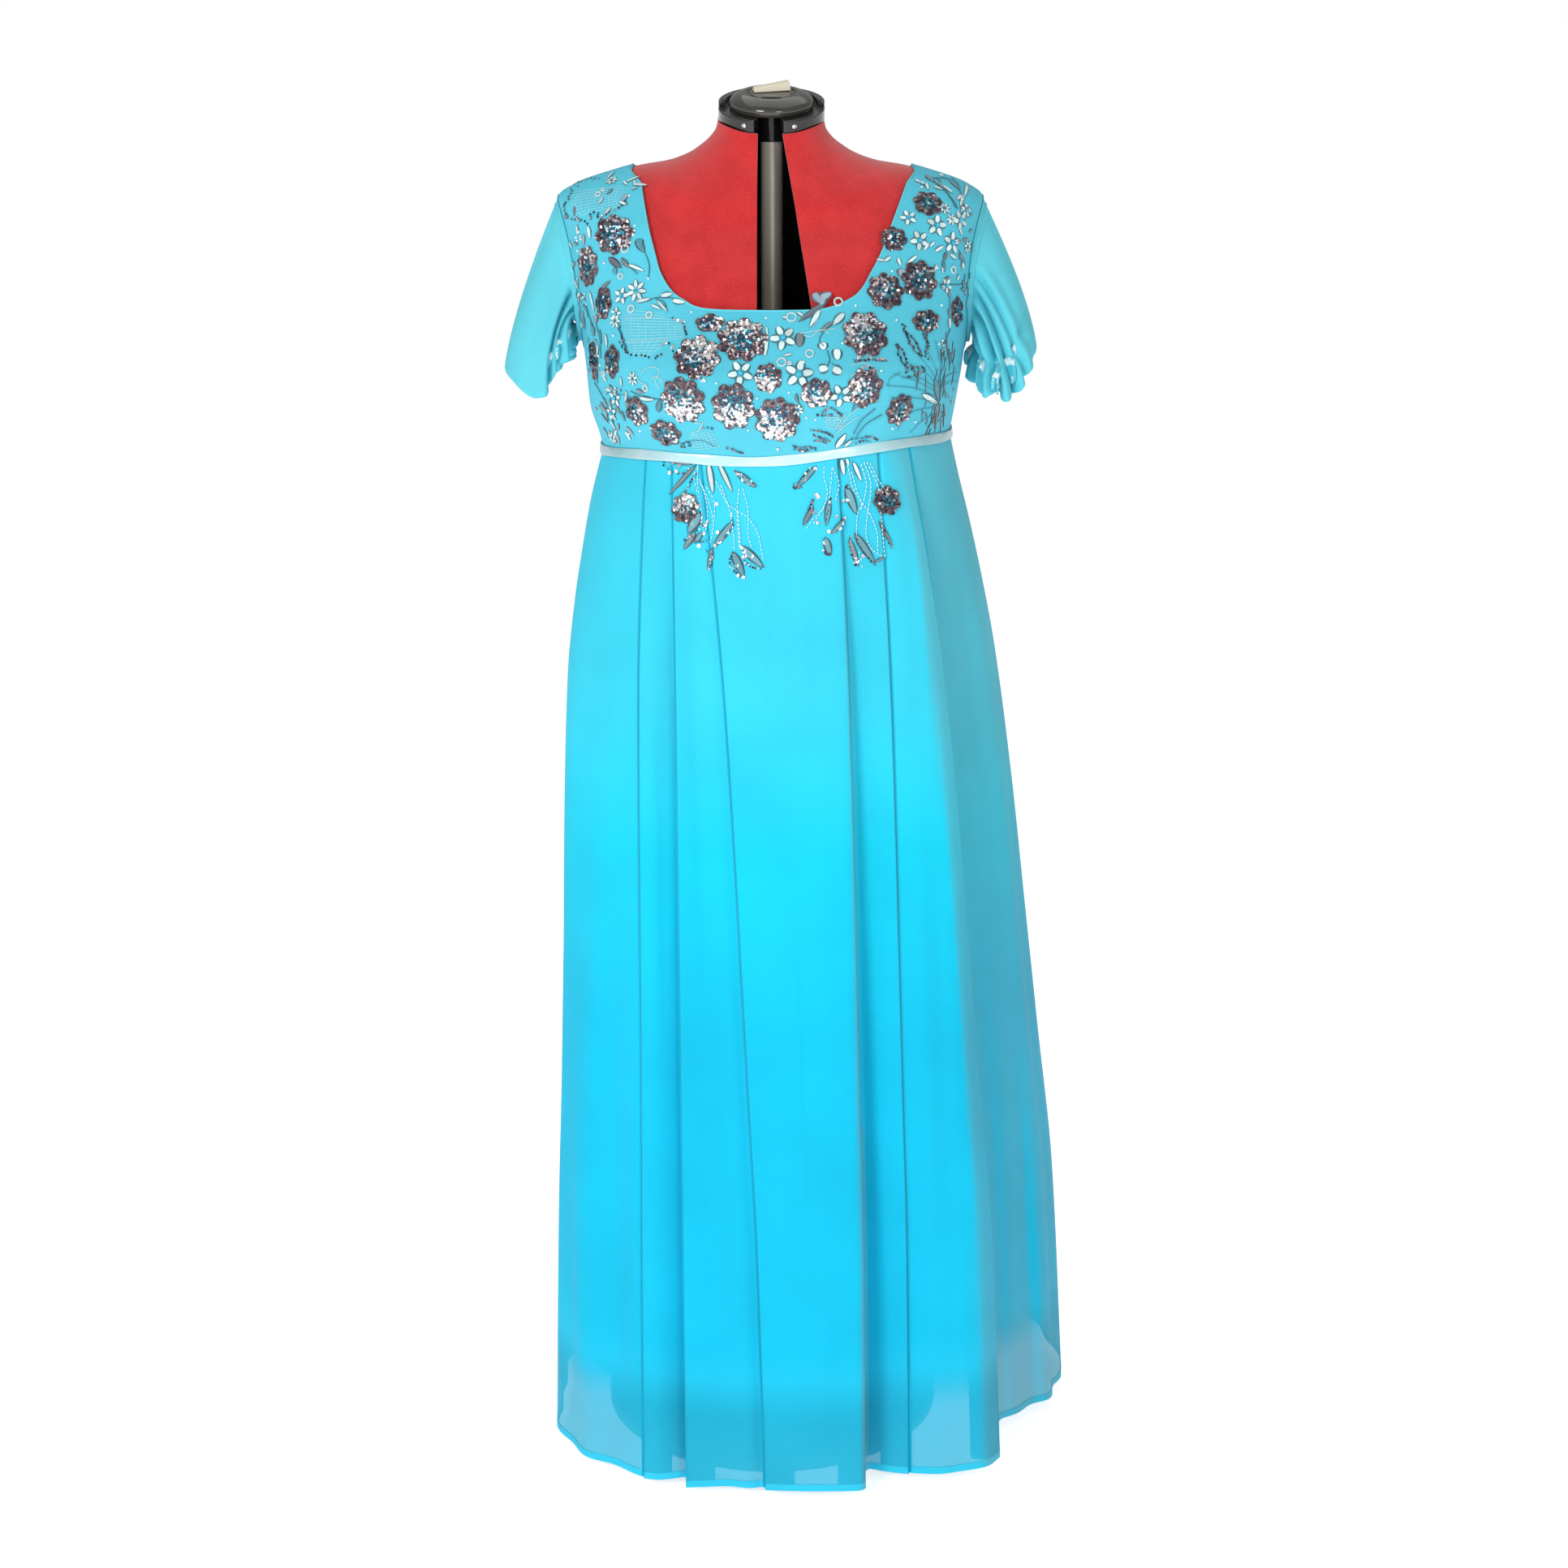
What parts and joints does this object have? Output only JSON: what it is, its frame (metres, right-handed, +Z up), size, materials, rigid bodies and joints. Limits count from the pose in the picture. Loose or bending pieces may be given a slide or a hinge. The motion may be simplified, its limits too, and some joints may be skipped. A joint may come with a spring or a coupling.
{
  "type": "regency gown on dress form",
  "caption": "Empire-line turquoise chiffon gown with puff sleeves, pleated skirt and lace flowers, on a red split dress form with a neck knob, pole and round base.",
  "frame": {"origin": "on the floor, at the middle of the base's flat underside, on the axis of the base", "axes": "+Z up along the pole, -Y towards the gown's front, +X to the gown's left side as worn (the viewer's right)"},
  "size_m": [0.6254, 0.5263, 1.5],
  "materials": {
    "chiffon": "soft matte crepe chiffon",
    "lining": "plain satin-faced lining",
    "satin": "glossy satin ribbon",
    "lace": "embroidered lace with sequins",
    "jersey": "matte brushed jersey over a moulded shell",
    "black_plastic": "glossy moulded plastic",
    "cream_plastic": "satin moulded plastic",
    "grey_metal": "satin metal tube",
    "base_metal": "black powder coat"
  },
  "bodies": {
    "root": {"base": "base_metal", "base_hub": "base_metal", "bodice_back_left": "chiffon", "bodice_back_right": "chiffon", "bodice_front": "chiffon", "flower_01": "lace", "flower_02": "lace", "flower_03": "lace", "flower_04": "lace", "flower_05": "lace", "flower_06": "lace", "flower_07": "lace", "flower_08": "lace", "flower_09": "lace", "flower_10": "lace", "flower_11": "lace", "flower_12": "lace", "flower_13": "lace", "flower_14": "lace", "flower_15": "lace", "flower_16": "lace", "flower_17": "lace", "flower_18": "lace", "flower_19": "lace", "flower_20": "lace", "flower_21": "lace", "flower_22": "lace", "flower_23": "lace", "flower_24": "lace", "form_left": "jersey", "form_right": "jersey", "knob_grip": "cream_plastic", "neck_knob": "black_plastic", "neck_plate_back": "black_plastic", "neck_plate_left": "black_plastic", "neck_plate_right": "black_plastic", "pole": "grey_metal", "pole_collar": "black_plastic", "skirt_back": "chiffon", "skirt_front": "chiffon", "skirt_lining": "lining", "sleeve_left": "chiffon", "sleeve_right": "chiffon", "spray_left": "lace", "spray_right": "lace", "waist_ribbon": "satin"}
  },
  "joints": []
}
